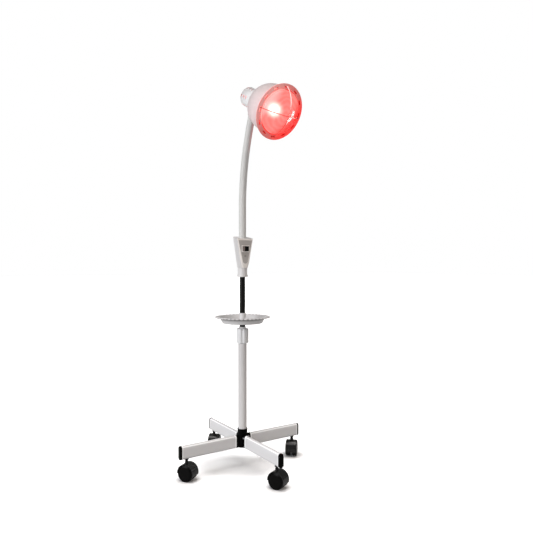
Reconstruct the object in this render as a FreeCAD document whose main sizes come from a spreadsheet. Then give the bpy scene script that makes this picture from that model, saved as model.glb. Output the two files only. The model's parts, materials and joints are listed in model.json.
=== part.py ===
import FreeCAD, Part
import math
import os
import re
import Sketcher

# Infrared heat therapy lamp on a rolling four-leg stand, in millimetres.
# Frame: the pole's axis is Z, the floor is Z = 0, the legs lie along X and Y, the front is -Y.

DOC = FreeCAD.newDocument("heat_lamp")
SHEET = DOC.addObject("Spreadsheet::Sheet", "dims")
NAMES = []
SUBPARTS = []


def size(name, number, meaning):
    """One driving dimension: a line of the sheet with its meaning and its alias."""
    NAMES.append(name)
    line = str(len(NAMES))
    SHEET.set("A" + line, meaning)
    SHEET.set("B" + line, str(number))
    SHEET.setAlias("B" + line, name)


# Stand
size("leg_reach", 200, "pole axis to the outer face of a leg's end cap")
size("leg_height", 38, "height of the flat-oval leg tube")
size("leg_width", 14.5, "width of the flat-oval leg tube")
size("leg_wall", 1.2, "wall of the leg tube")
size("leg_floor", 59, "floor to the underside of a leg")
size("arm_reach", 24, "pole axis to the end of a hub arm, where the tube starts")
size("spigot_reach", 50, "pole axis to the end of a spigot inside the tube")
size("seat_gap", 0.05, "play of a piece pushed into another")
size("cap_flange", 1.5, "thickness of the end cap's outer face")
size("cap_depth", 9, "length of the end cap's plug inside the tube")
size("hub_foot", 60, "floor to the underside of the hub's column")
size("hub_top", 114, "floor to the top of the hub's sleeve")
size("hub_radius", 14.5, "radius of the hub's column and sleeve")
size("hub_lip", 15.2, "radius of the sleeve's lip")
size("hub_lip_height", 3, "height of the sleeve's lip")
size("hub_floor", 74, "floor to the seat of the outer tube in the hub")
size("bolt_recess", 66, "floor to the seat of the column bolt's head")
size("bolt_recess_radius", 8.2, "radius of the recess for the bolt's head")
size("bolt_radius", 3.95, "radius of the column bolt")
size("bolt_flats", 13, "width over flats of the column bolt's head")
size("bolt_head", 5.3, "height of the column bolt's head")
size("bolt_top", 86, "floor to the top of the column bolt")
size("arm_screw_reach", 17, "pole axis to a hub arm's screw")
size("arm_screw_height", 89, "floor to a hub arm's screw")
size("screw_head", 2.8, "radius of an arm screw's pan head")
size("screw_head_rise", 1.6, "height of that head")
size("screw_shank", 1.5, "radius of a small screw")
size("screw_reach", 8, "length of an arm screw's shank")

# Column and clamp
size("tube_radius", 12.5, "radius of the outer tube")
size("tube_wall", 1.2, "wall of the outer and inner tubes")
size("tube_top", 364, "floor to the top of the outer tube")
size("tube_plate", 5, "thickness of the plate welded in the outer tube's foot")
size("mast_radius", 8, "radius of the inner tube")
size("mast_foot", 120, "floor to the lower end of the inner tube")
size("mast_top", 600, "floor to the upper end of the inner tube")
size("running_gap", 0.05, "radial play of a running fit")
size("bush_foot", 330, "floor to the lower end of the clamp bush")
size("bush_flange", 0.8, "thickness of the bush's flange on the tube")
size("bush_radius", 10.5, "radius of the bush's threaded neck")
size("bush_top", 402, "floor to the top of the bush")
size("collet_radius", 9.2, "outer radius of the split collet")
size("collet_foot", 335, "floor to the lower end of the collet")
size("collet_ring_foot", 409.3, "floor to the underside of the collet's ring")
size("collet_ring", 10.35, "radius of the collet's ring")
size("collet_top", 414, "floor to the top of the collet")
size("slit", 1.2, "width of the collet's slits")
size("slit_top", 392, "floor to the upper end of the slits")
size("knob_radius", 17.85, "radius over the clamp knob's lobes")
size("knob_foot", 366.5, "floor to the underside of the knob")
size("knob_top", 409, "floor to the top of the knob")
size("knob_lip", 6.5, "thickness of the knob's top lip")
size("knob_bevel", 2.2, "bevel at the knob's ends")
size("flute_radius", 4.6, "radius of a flute in the knob")
size("flute_reach", 20.4, "knob axis to a flute's axis")
size("flute_count", 6, "flutes round the knob")

# Tray
size("tray_foot", 425, "floor to the tray's underside")
size("tray_rise", 20, "height of the tray from its underside to the rim's top")
size("tray_wall", 2, "wall of the tray")
size("tray_floor_radius", 58.5, "radius of the tray's underside")
size("tray_mouth", 69.5, "radius of the tray's wall under the rim")
size("tray_rim", 79.2, "radius of the web between the rim's lobes")
size("tray_rim_drop", 2.4, "rim's top to the underside of that web")
size("tray_boss", 10, "radius of the boss round the inner tube")
size("tray_boss_rise", 6, "height of the boss from the tray's underside")
size("lobe_count", 41, "lobes round the tray's rim")
size("lobe_radius", 5.9, "radius of a lobe's rounded back")
size("lobe_start", 71.5, "tray axis to the inner end of a lobe")
size("lobe_end", 82, "tray axis to the outer end of a lobe")
size("lobe_half_width", 5.2, "half the width of a lobe")
size("lobe_foot_half", 3.4, "half the width of a lobe's underside")
size("lobe_depth", 4.2, "height of a lobe at the middle")
size("stop_ring", 10.2, "radius of the stop ring under the tray")
size("stop_ring_rise", 6, "height of the stop ring")

# Switch housing
size("collar_foot", 561.5, "floor to the underside of the housing's collar")
size("collar_flange", 16, "radius of the collar's flange")
size("collar_flange_rise", 6.2, "height of the collar's flange")
size("collar_radius", 13.75, "radius of the collar")
size("house_foot", 588, "floor to the underside of the housing")
size("house_knee", 603, "floor to the height where the flat front starts")
size("house_front", 16, "pole axis to the housing's flat front")
size("house_back", 16.5, "pole axis to the housing's flat back")
size("house_foot_radius", 15, "radius of the housing's round foot")
size("house_foot_round", 14.8, "corner radius of the housing at its foot")
size("house_knee_width", 32.5, "width of the housing at its knee")
size("house_top_width", 57, "width of the housing at its highest corner")
size("house_knee_round", 8, "front corner radius at the knee")
size("house_top_round", 2.5, "front corner radius at the top")
size("house_back_round", 14, "back corner radius")
size("house_top", 681, "floor to the top of the housing's back edge")
size("house_slope", 12, "fall of the housing's top to the front, in degrees")
size("house_wall", 2, "wall of the housing")
size("house_roof", 2.6, "thickness of the housing's top")
size("house_parting", -2, "place of the joint between the front and rear shells, along Y")
size("label_thick", 0.8, "thickness of the front label plate")
size("label_top", 669, "floor to the top edge of the label plate")
size("label_half_width", 22.6, "half the width of the label plate's top")
size("label_waist", 606.5, "floor to the start of the label plate's round tip")
size("label_waist_half", 8, "half the width of the label plate at its tip")
size("label_tip_radius", 8.4, "radius of the label plate's tip")
size("switch_height", 644, "floor to the switch's centre")
size("frame_half_width", 13, "half the width of the moulded switch frame")
size("frame_half_height", 10, "half the height of the moulded switch frame")
size("frame_proud", 2.2, "how far the moulded frame stands out of the front")
size("bezel_half_width", 10.5, "half the width of the switch's bezel")
size("bezel_half_height", 7.5, "half the height of the switch's bezel")
size("bezel_thick", 1.2, "thickness of the switch's bezel")
size("case_half_width", 9.9, "half the width of the switch's case")
size("case_half_height", 6.9, "half the height of the switch's case")
size("case_depth", 17, "depth of the switch's case behind the frame")
size("well_half_width", 9.2, "half the width of the rocker's well")
size("well_half_height", 5.9, "half the height of the rocker's well")
size("well_depth", 9, "depth of the rocker's well")
size("rocker_half_width", 8.2, "half the width of the rocker")
size("rocker_half_height", 5.6, "half the height of the rocker")
size("rocker_rise", 3, "height of the rocker's ends over its pivot")
size("rocker_dish", 1, "height of the rocker's middle over its pivot")
size("rocker_tilt", 9, "tilt of the rocker each side of its middle, in degrees")
size("rocker_keel", 4.6, "depth of the rocker behind its pivot")
size("trunnion", 1, "radius of the rocker's trunnions")
size("trunnion_reach", 0.7, "length of a trunnion in the case")
size("post_radius", 3.5, "radius of the housing's screw posts")
size("post_side", 9, "pole axis to an upper screw post, along X")
size("post_height", 656.5, "floor to the upper screw posts")
size("plug_height", 623, "floor to the screw in the front")
size("plug_head", 3.5, "radius of the housing screws' heads")
size("plug_head_rise", 1.6, "height of the housing screws' heads")
size("screw_length", 20, "length of the housing screws' shanks")
size("gland_height", 635, "floor to the cord gland")
size("gland_bore", 3.6, "radius of the gland's bore")
size("gland_thread", 5.45, "radius of the gland's thread in the wall")
size("gland_flange", 7.4, "radius of the gland's flange")
size("gland_nose", 5.2, "radius of the gland's nose")
size("gland_length", 11, "length of the gland outside the wall")
size("block_half_width", 7.2, "half the width of the terminal block")
size("block_depth", 8, "depth of the terminal block")
size("block_foot", 640.7, "floor to the underside of the terminal block")
size("block_rise", 12, "height of the terminal block")
size("block_hole", 1.6, "radius of a wire clamp in the terminal block")

# Gooseneck
size("neck_radius", 10.75, "radius of the gooseneck")
size("neck_bore", 4, "radius of the wire passage in the gooseneck")
size("neck_gap", 0.3, "play between a link's ball and the next link's cup")
size("neck_foot", 676, "floor to the start of the gooseneck on the pole's axis")
size("neck_straight", 90, "length of the gooseneck's upright part")
size("neck_bend", 799, "radius of the gooseneck's curve")
size("neck_first", 30, "gooseneck's foot to its first hinge, along it")
size("neck_pitch", 58, "distance between hinges along the gooseneck")
size("neck_length", 357, "length of the gooseneck")
size("cup_cut", 5.8, "how far a link's rim stays below the hinge")
size("stub_spigot", 6, "radius of the neck's threaded spigot in the housing")
size("stub_spigot_foot", 661, "floor to the lower end of that spigot")
size("plane_turn", -82.35, "direction of the gooseneck's plane from +X, in degrees")

# Lamp head: sizes along the shade's axis are from the shade's front edge, forwards positive
size("head_reach", 162, "pole axis to the centre of the shade's front")
size("head_height", 1013, "floor to the centre of the shade's front")
size("head_dip", 29.1, "fall of the shade's axis below the horizontal, in degrees")
size("bell_mouth", 77.2, "radius of the shade's front edge")
size("bell_body", 65.6, "radius of the shade's body and of its domed shoulder")
size("bell_skirt", 39.5, "length of the flared skirt")
size("bell_wall", 1.5, "wall of the shade")
size("bell_seat", 30, "radius of the flat seat for the rear cap")
size("bell_hole", 24, "radius of the hole behind the lamp holder")
size("ring_thick", 1.6, "thickness of the front ring")
size("ring_mouth", 62.5, "radius of the front ring's opening")
size("ring_lip", 5, "depth of the lip round the opening")
size("vent_reach", 68.3, "shade axis to the middle of a slot in the front ring")
size("vent_length", 14, "length of a slot in the front ring")
size("vent_width", 4, "width of a slot in the front ring")
size("vent_count", 12, "slots in the front ring")
size("vent_turn", 3.8, "turn of the slots from the wires, in degrees")
size("cap_radius", 28.1, "radius of the rear cap")
size("cap_ridge", 29.6, "radius of the ridge where the cap meets the shade")
size("cap_ridge_width", 3, "width of that ridge")
size("cap_end", 158, "shade's front to the cap's closed end")
size("cap_wall", 1.8, "wall of the rear cap")
size("cap_round", 7, "radius of the cap's rear edge")
size("louvre_first", 127.5, "shade's front to the first louvre of a row")
size("louvre_pitch", 11, "distance between louvres of a row")
size("louvre_length", 8, "length of a louvre")
size("louvre_width", 3, "width of a louvre")
size("louvre_rows", 6, "rows of louvres round the cap")
size("holder_radius", 20, "radius of the lamp holder")
size("holder_front", 97, "shade's front to the lamp holder's mouth")
size("holder_mouth", 16.8, "radius of the lamp holder's mouth round the glass")
size("bulb_radius", 60.6, "largest radius of the bulb")
size("bulb_widest", 3.4, "place of the bulb's largest radius")
size("bulb_apex", 29, "place of the bulb's face")
size("bulb_face_radius", 95, "radius of curvature of the bulb's face")
size("bulb_edge", 57, "radius where the bulb's face meets its rounded edge")
size("bulb_edge_place", 10, "place where the bulb's face meets its rounded edge")
size("bulb_edge_round", 9, "radius of that rounded edge")
size("bulb_flank", 101.7, "radius of curvature of the bulb's flank")
size("bulb_throat", 19, "radius of the bulb's throat")
size("bulb_throat_place", 86, "shade's front to the bulb's throat")
size("bulb_glass_end", 104, "shade's front to the end of the glass")
size("bulb_wall", 1.1, "thickness of the bulb's glass")
size("screw_shell", 13.3, "radius of the bulb's screw base")
size("shell_end", 127, "shade's front to the end of the screw thread")
size("shell_tip", 131, "shade's front to the contact at the base's end")
size("shell_tip_radius", 5, "radius of that contact")
size("wire_radius", 1, "radius of the guard's wires")
size("wire_bow", 42.5, "place of the wires' crossing")
size("wire_centre", 34.9, "shade's front back to the centre of the wires' bow")
size("wire_foot_rise", 1.6, "thickness of a wire's foot")
size("wire_foot", 2.6, "radius of a wire's foot behind the front ring")
size("socket_radius", 12.6, "radius of the neck's socket on the cap")

# Casters
size("caster_reach", 180, "pole axis to a caster's stem")
size("wheel_radius", 23.2, "radius of a wheel")
size("wheel_inner", 4.4, "caster's middle to a wheel's inner face")
size("wheel_outer", 17.2, "caster's middle to a wheel's outer face")
size("wheel_round", 3.2, "rounding of a wheel's outer edge")
size("wheel_rim", 3, "thickness of a wheel's rim")
size("wheel_disc", 2.6, "thickness of a wheel's disc")
size("wheel_hub", 6, "radius of a wheel's hub")
size("axle_radius", 3, "radius of the axle")
size("axle_half", 13.6, "half the length of the axle")
size("trail", 4, "stem to axle")
size("hood_radius", 25, "outer radius of the hood")
size("hood_inner", 23.6, "inner radius of the hood")
size("hood_half", 15.8, "half the width of the hood")
size("hood_lead", 4, "fall of the hood's leading edge below the axle, in degrees")
size("hood_tail", 17, "fall of the hood's trailing edge below the axle, in degrees")
size("web_half", 4, "half the thickness of the web between the wheels")
size("web_boss", 7.5, "radius of the web round the axle")
size("stem_boss", 4.8, "radius of the hood's boss under the stem")
size("stem_boss_top", 51, "floor to the top of that boss")
size("stem_radius", 3.9, "radius of the stem")
size("stem_spigot", 2.4, "radius of the stem's end in the web")
size("stem_spigot_foot", 33, "floor to the lower end of the stem")
size("stem_collar", 4.4, "radius of the stem's collar")
size("stem_collar_top", 53, "floor to the top of the stem's collar")
size("stem_top", 82, "floor to the top of the stem")
size("socket_outer", 5, "radius of a caster socket in the leg")
size("socket_rim", 6.2, "radius of the socket's rim under the leg")
size("socket_rim_drop", 1.2, "thickness of that rim")
size("socket_top", 85, "floor to the top of a caster socket")

DOC.recompute()

ALIAS = re.compile(r"\b(" + "|".join(sorted(NAMES, key=len, reverse=True)) + r")\b")


def bound(text):
    """An expression in which each dimension's name is read from the sheet."""
    return ALIAS.sub(r"dims.\1", str(text))


def value(text):
    """The number that an expression on the sheet's dimensions gives."""
    return float(SHEET.evalExpression(ALIAS.sub(r"dims.\1", str(text))))


def bind(thing, prop, text):
    """Ties a property to a formula of the sheet's names."""
    thing.setExpression(prop, bound(text))


def finished(thing, label, placement=None):
    """Names a piece for its file, places it and adds it to the parts list."""
    thing.Label = label
    if placement is not None:
        thing.Placement = placement
    SUBPARTS.append(thing)
    return thing


# ---------------------------------------------------------------- sketches

def new_body(name):
    return DOC.addObject("PartDesign::Body", "body_" + name)


def new_sketch(body, plane, offset="0"):
    """An empty sketch on one of the body's origin planes, moved along the plane's normal."""
    sketch = body.newObject("Sketcher::SketchObject", body.Name + "_sketch")
    origin = [o for o in body.Origin.OriginFeatures if o.Role == plane][0]
    sketch.AttachmentSupport = [(origin, "")]
    sketch.MapMode = "FlatFace"
    if offset != "0":
        bind(sketch, "AttachmentOffset.Base.z", offset)
    return sketch


def constrain(sketch, kind, where, text):
    """A dimension of the sketch, tied to the sheet."""
    index = sketch.addConstraint(Sketcher.Constraint(kind, *where, value(text)))
    if ALIAS.search(str(text)):
        sketch.setExpression("Constraints[%d]" % index, bound(text))


def arc_between(start, end, radius, turn):
    """The short arc from start to end; turn is 1 for counter-clockwise and -1 for clockwise."""
    chord = end - start
    side = FreeCAD.Vector(-chord.y, chord.x, 0).normalize()
    rise = math.sqrt(max(radius ** 2 - chord.Length ** 2 / 4, 0))
    centre = (start + end) / 2 + side * (turn * rise)
    first = math.atan2(start.y - centre.y, start.x - centre.x)
    last = math.atan2(end.y - centre.y, end.x - centre.x)
    circle = Part.Circle(centre, FreeCAD.Vector(0, 0, 1), radius)
    if turn > 0:
        return Part.ArcOfCircle(circle, first, last)
    return Part.ArcOfCircle(circle, last, first)


def set_arc(sketch, edge, corner, chord):
    """Fixes an arc by its radius, or by its centre where it is a half circle."""
    if chord.Length < 2 * value(corner[2]) - 0.001:
        constrain(sketch, "Radius", (edge,), corner[2])
    elif abs(chord.y) < abs(chord.x):
        constrain(sketch, "DistanceY", (edge, 3), corner[1])
    else:
        constrain(sketch, "DistanceX", (edge, 3), corner[0])


def draw(sketch, outline):
    """A closed outline. A corner is (x, y); a corner that starts an arc is (x, y, radius, turn)."""
    corners = [FreeCAD.Vector(value(c[0]), value(c[1]), 0) for c in outline]
    ends = []
    for i, corner in enumerate(outline):
        start = corners[i]
        end = corners[(i + 1) % len(corners)]
        if len(corner) == 2:
            edge = sketch.addGeometry(Part.LineSegment(start, end), False)
            ends.append((edge, 1, 2))
        else:
            arc = arc_between(start, end, value(corner[2]), corner[3])
            edge = sketch.addGeometry(arc, False)
            ends.append((edge, 1, 2) if corner[3] > 0 else (edge, 2, 1))
    for i, (edge, first, last) in enumerate(ends):
        after, after_first, _ = ends[(i + 1) % len(ends)]
        sketch.addConstraint(Sketcher.Constraint("Coincident", edge, last, after, after_first))
        constrain(sketch, "DistanceX", (edge, first), outline[i][0])
        constrain(sketch, "DistanceY", (edge, first), outline[i][1])
        if len(outline[i]) == 4:
            set_arc(sketch, edge, outline[i], corners[(i + 1) % len(corners)] - corners[i])


def draw_circle(sketch, radius, across="0", up="0"):
    centre = FreeCAD.Vector(value(across), value(up), 0)
    circle = Part.Circle(centre, FreeCAD.Vector(0, 0, 1), value(radius))
    edge = sketch.addGeometry(circle, False)
    constrain(sketch, "Radius", (edge,), radius)
    constrain(sketch, "DistanceX", (edge, 3), across)
    constrain(sketch, "DistanceY", (edge, 3), up)


def oval(half_width, low, high, across="0"):
    """A flat oval standing upright: half circles above and below, straight sides."""
    side = "(%s)" % half_width
    return [
        ("%s + %s" % (across, side), "(%s) + %s" % (low, side)),
        ("%s + %s" % (across, side), "(%s) - %s" % (high, side), side, 1),
        ("%s - %s" % (across, side), "(%s) - %s" % (high, side)),
        ("%s - %s" % (across, side), "(%s) + %s" % (low, side), side, 1),
    ]


def box_outline(half_width, low, high):
    side = "(%s)" % half_width
    return [(side, low), (side, high), ("-" + side, high), ("-" + side, low)]


def rounded(half_width, front, back, front_round, back_round):
    """A plan outline with two corner radii, corners listed from the front right."""
    w, f, b, p, q = ["(%s)" % e for e in (half_width, front, back, front_round, back_round)]
    return [
        ("%s - %s" % (w, p), "-" + f, p, 1),
        (w, "%s - %s" % (p, f)),
        (w, "%s - %s" % (b, q), q, 1),
        ("%s - %s" % (w, q), b),
        ("%s - %s" % (q, w), b, q, 1),
        ("-" + w, "%s - %s" % (b, q)),
        ("-" + w, "%s - %s" % (p, f), p, 1),
        ("%s - %s" % (p, w), "-" + f),
    ]


# ---------------------------------------------------------------- features

def swing(body, outline):
    """Material from a half outline (radius, height) swung round the body's Z axis."""
    sketch = new_sketch(body, "XZ_Plane")
    draw(sketch, outline)
    turn = body.newObject("PartDesign::Revolution", body.Name + "_turned")
    turn.Profile = sketch
    turn.ReferenceAxis = (sketch, ["V_Axis"])
    turn.Angle = 360
    return turn


def pad(body, sketch, length, both_ways=False, reverse=False):
    feature = body.newObject("PartDesign::Pad", body.Name + "_pad")
    feature.Profile = sketch
    bind(feature, "Length", length)
    feature.Midplane = both_ways
    feature.Reversed = reverse
    return feature


def pocket(body, sketch, length, both_ways=False, reverse=False):
    """Cuts a sketch out of the body, and stops the build if nothing was cut."""
    DOC.recompute()
    before = body.Shape.Volume
    feature = body.newObject("PartDesign::Pocket", body.Name + "_pocket")
    feature.Profile = sketch
    bind(feature, "Length", length)
    feature.Midplane = both_ways
    feature.Reversed = reverse
    DOC.recompute()
    if body.Shape.Volume >= before - 0.01:
        raise RuntimeError(feature.Name + " cuts nothing")
    return feature


def ring_of(body, feature, count, axis="Z_Axis"):
    """Repeats a feature round one of the body's axes."""
    pattern = body.newObject("PartDesign::PolarPattern", body.Name + "_pattern")
    pattern.Originals = [feature]
    line = [o for o in body.Origin.OriginFeatures if o.Role == axis][0]
    pattern.Axis = (line, [""])
    pattern.Angle = 360
    bind(pattern, "Occurrences", count)
    body.Tip = pattern
    return pattern


def turned(label, outline, placement=None):
    """A whole piece that is one turned shape."""
    body = new_body(label)
    swing(body, outline)
    return finished(body, label, placement)


def sleeve(inner, outer, low, high):
    """The half outline of a plain ring or tube."""
    return [(inner, low), (outer, low), (outer, high), (inner, high)]


def cylinder(radius, height, x="0", y="0", z="0", axis=(0, 0, 1)):
    """A primitive cylinder that starts at a point and runs along an axis."""
    thing = DOC.addObject("Part::Cylinder", "cylinder")
    bind(thing, "Radius", radius)
    bind(thing, "Height", height)
    thing.Placement.Rotation = FreeCAD.Rotation(FreeCAD.Vector(0, 0, 1), FreeCAD.Vector(*axis))
    for letter, place in zip("xyz", (x, y, z)):
        if place != "0":
            bind(thing, "Placement.Base." + letter, place)
    return thing


def block(half_width, y_low, y_high, z_low, z_high):
    """A primitive box centred on X = 0."""
    thing = DOC.addObject("Part::Box", "block")
    bind(thing, "Length", "2 * (%s)" % half_width)
    bind(thing, "Width", "(%s) - (%s)" % (y_high, y_low))
    bind(thing, "Height", "(%s) - (%s)" % (z_high, z_low))
    bind(thing, "Placement.Base.x", "-(%s)" % half_width)
    bind(thing, "Placement.Base.y", y_low)
    bind(thing, "Placement.Base.z", z_low)
    return thing


def joined(*things):
    fuse = DOC.addObject("Part::MultiFuse", "joined")
    fuse.Shapes = list(things)
    return fuse


def cut(base, *tools):
    """The base less each tool in turn."""
    for tool in tools:
        piece = DOC.addObject("Part::Cut", "cut")
        piece.Base = base
        piece.Tool = tool
        base = piece
    return base


def common(one, other):
    piece = DOC.addObject("Part::Common", "common")
    piece.Base = one
    piece.Tool = other
    return piece


def group(label, things, placement=None):
    """Like pieces that share a node stay separate solids."""
    piece = DOC.addObject("Part::Compound", "group")
    piece.Links = things
    return finished(piece, label, placement)


# ---------------------------------------------------------------- the stand

LEGS = {"right": 0, "rear": 90, "left": 180, "front": 270}


def turn_z(degrees):
    return FreeCAD.Placement(FreeCAD.Vector(), FreeCAD.Rotation(FreeCAD.Vector(0, 0, 1), degrees))


def hub():
    """Moulded hub: a sleeve for the pole, four arms flush with the legs, spigots inside them."""
    body = new_body("base_hub")
    top = "leg_floor + leg_height"
    inset = "leg_wall + seat_gap"
    for plane in ("YZ_Plane", "XZ_Plane"):
        arm = new_sketch(body, plane)
        draw(arm, oval("leg_width / 2", "leg_floor", top))
        pad(body, arm, "2 * arm_reach", both_ways=True)
        spigot = new_sketch(body, plane)
        draw(spigot, oval("leg_width / 2 - (%s)" % inset, "leg_floor + " + inset, top + " - (%s)" % inset))
        pad(body, spigot, "2 * spigot_reach", both_ways=True)
    swing(body, [
        ("0", "hub_foot"),
        ("hub_radius", "hub_foot"),
        ("hub_radius", "hub_top - hub_lip_height"),
        ("hub_lip", "hub_top"),
        ("0", "hub_top"),
    ])
    bore = new_sketch(body, "XY_Plane", "hub_top")
    draw_circle(bore, "tube_radius + seat_gap")
    pocket(body, bore, "hub_top - hub_floor")
    bolt = new_sketch(body, "XY_Plane", "hub_top")
    draw_circle(bolt, "bolt_radius + seat_gap")
    pocket(body, bolt, "hub_top")
    recess = new_sketch(body, "XY_Plane", "bolt_recess")
    draw_circle(recess, "bolt_recess_radius")
    pocket(body, recess, "bolt_recess")
    holes = [arm_hole(degrees) for degrees in LEGS.values()]
    finished(cut(body, *holes), "base_hub")


def arm_hole(degrees):
    """The hole for one arm's screw, from the arm's side to past its middle."""
    hole = cylinder("screw_shank + seat_gap", "screw_reach + 1")
    hole.Placement = arm_side(degrees)
    return hole


def arm_side(degrees):
    """A hub arm's screw place: on the arm's side, with Z running into the arm."""
    seat = FreeCAD.Vector(value("arm_screw_reach"), -value("leg_width") / 2, value("arm_screw_height"))
    inwards = FreeCAD.Rotation(FreeCAD.Vector(0, 0, 1), FreeCAD.Vector(0, 1, 0))
    return turn_z(degrees).multiply(FreeCAD.Placement(seat, inwards))


def arm_screw(degrees):
    """Pan-head screw; its head stands out of the arm and its shank runs into it."""
    body = new_body("arm_screw")
    swing(body, [
        ("0", "-screw_head_rise"),
        ("screw_head / 2", "-screw_head_rise"),
        ("screw_head", "-screw_head_rise / 3"),
        ("screw_head", "0"),
        ("screw_shank", "0"),
        ("screw_shank", "screw_reach"),
        ("0", "screw_reach"),
    ])
    body.Placement = arm_side(degrees)
    return body


def leg(name, degrees):
    """Flat-oval tube with a hole underneath for the caster's socket."""
    body = new_body("leg_" + name)
    top = "leg_floor + leg_height"
    tube = new_sketch(body, "YZ_Plane", "arm_reach")
    draw(tube, oval("leg_width / 2", "leg_floor", top))
    draw(tube, oval("leg_width / 2 - leg_wall", "leg_floor + leg_wall", top + " - leg_wall"))
    pad(body, tube, "leg_reach - cap_flange - arm_reach")
    hole = new_sketch(body, "XY_Plane", "leg_floor + leg_width / 2")
    draw_circle(hole, "socket_outer + seat_gap", "caster_reach")
    pocket(body, hole, "leg_width / 2")
    finished(body, "leg_" + name, turn_z(degrees))


def end_cap(degrees):
    """Push-in cap: a flange that closes the tube and a plug that grips inside it."""
    body = new_body("end_cap")
    top = "leg_floor + leg_height"
    inset = "leg_wall + seat_gap"
    flange = new_sketch(body, "YZ_Plane", "leg_reach - cap_flange")
    draw(flange, oval("leg_width / 2", "leg_floor", top))
    pad(body, flange, "cap_flange")
    plug = new_sketch(body, "YZ_Plane", "leg_reach - cap_flange")
    draw(plug, oval("leg_width / 2 - (%s)" % inset, "leg_floor + " + inset, top + " - (%s)" % inset))
    pad(body, plug, "cap_depth", reverse=True)
    body.Placement = turn_z(degrees)
    return body


def socket(degrees):
    """Plastic bush in the leg in which a caster's stem turns."""
    body = new_body("socket")
    swing(body, [
        ("stem_radius + running_gap", "leg_floor - socket_rim_drop"),
        ("socket_rim", "leg_floor - socket_rim_drop"),
        ("socket_rim", "leg_floor"),
        ("socket_outer", "leg_floor"),
        ("socket_outer", "socket_top"),
        ("stem_radius + running_gap", "socket_top"),
    ])
    reach = FreeCAD.Placement(FreeCAD.Vector(value("caster_reach"), 0, 0), FreeCAD.Rotation())
    body.Placement = turn_z(degrees).multiply(reach)
    return body


def column_bolt():
    """Hexagon bolt that draws the outer tube down into the hub."""
    body = new_body("column_bolt")
    head = new_sketch(body, "XY_Plane", "bolt_recess")
    across = "bolt_flats / 2"
    corner = "bolt_flats / sqrt(3)"
    draw(head, [
        (corner, "0"),
        ("(%s) / 2" % corner, across),
        ("-(%s) / 2" % corner, across),
        ("-(%s)" % corner, "0"),
        ("-(%s) / 2" % corner, "-(%s)" % across),
        ("(%s) / 2" % corner, "-(%s)" % across),
    ])
    pad(body, head, "bolt_head", reverse=True)
    shank = new_sketch(body, "XY_Plane", "bolt_recess")
    draw_circle(shank, "bolt_radius")
    pad(body, shank, "bolt_top - bolt_recess")
    finished(body, "column_bolt")


hub()
for place, degrees in LEGS.items():
    leg(place, degrees)
group("leg_end_caps", [end_cap(degrees) for degrees in LEGS.values()])
group("hub_screws", [arm_screw(degrees) for degrees in LEGS.values()])
group("caster_sockets", [socket(degrees) for degrees in LEGS.values()])
column_bolt()

# The outer tube stands in the hub's sleeve; the plate welded in its foot takes the bolt.
turned("outer_tube", [
    ("bolt_radius + seat_gap", "hub_floor"),
    ("tube_radius", "hub_floor"),
    ("tube_radius", "tube_top"),
    ("tube_radius - tube_wall", "tube_top"),
    ("tube_radius - tube_wall", "hub_floor + tube_plate"),
    ("bolt_radius + seat_gap", "hub_floor + tube_plate"),
])


# ---------------------------------------------------------------- the height clamp

# Bush pressed in the tube's mouth, with the neck that the knob screws down on.
turned("clamp_bush", [
    ("collet_radius + running_gap", "bush_foot"),
    ("tube_radius - tube_wall - seat_gap", "bush_foot"),
    ("tube_radius - tube_wall - seat_gap", "tube_top"),
    ("tube_radius", "tube_top"),
    ("tube_radius", "tube_top + bush_flange"),
    ("bush_radius", "tube_top + bush_flange"),
    ("bush_radius", "bush_top"),
    ("collet_radius + running_gap", "bush_top"),
])


def collet():
    """Split sleeve that the knob closes on the inner tube; its ring shows above the knob."""
    body = new_body("clamp_collet")
    swing(body, [
        ("mast_radius + running_gap", "collet_foot"),
        ("collet_radius", "collet_foot"),
        ("collet_radius", "collet_ring_foot"),
        ("collet_ring", "collet_ring_foot"),
        ("collet_ring", "collet_top"),
        ("mast_radius + running_gap", "collet_top"),
    ])
    for plane in ("XZ_Plane", "YZ_Plane"):
        slits = new_sketch(body, plane)
        draw(slits, box_outline("slit / 2", "collet_foot", "slit_top"))
        pocket(body, slits, "4 * collet_radius", both_ways=True)
    finished(body, "clamp_collet")


def knob():
    """Fluted nut: six lobes for the hand, a threaded bore and a lip that presses the collet."""
    body = new_body("clamp_knob")
    swing(body, [
        ("bush_radius + running_gap", "knob_foot"),
        ("knob_radius - knob_bevel", "knob_foot"),
        ("knob_radius", "knob_foot + knob_bevel"),
        ("knob_radius", "knob_top - knob_bevel"),
        ("knob_radius - knob_bevel", "knob_top"),
        ("collet_radius + 2 * running_gap", "knob_top"),
        ("collet_radius + 2 * running_gap", "knob_top - knob_lip"),
        ("bush_radius + running_gap", "knob_top - knob_lip"),
    ])
    flute = new_sketch(body, "XY_Plane", "knob_top")
    draw_circle(flute, "flute_radius", "flute_reach")
    ring_of(body, pocket(body, flute, "knob_top - knob_foot"), "flute_count")
    finished(body, "clamp_knob")


collet()
knob()

# ---------------------------------------------------------------- the mast and its tray

turned("inner_tube", sleeve("mast_radius - tube_wall", "mast_radius", "mast_foot", "mast_top"))
stop_foot = "tray_foot - stop_ring_rise"
turned("tray_stop_ring", sleeve("mast_radius + seat_gap", "stop_ring", stop_foot, "tray_foot"))


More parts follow.
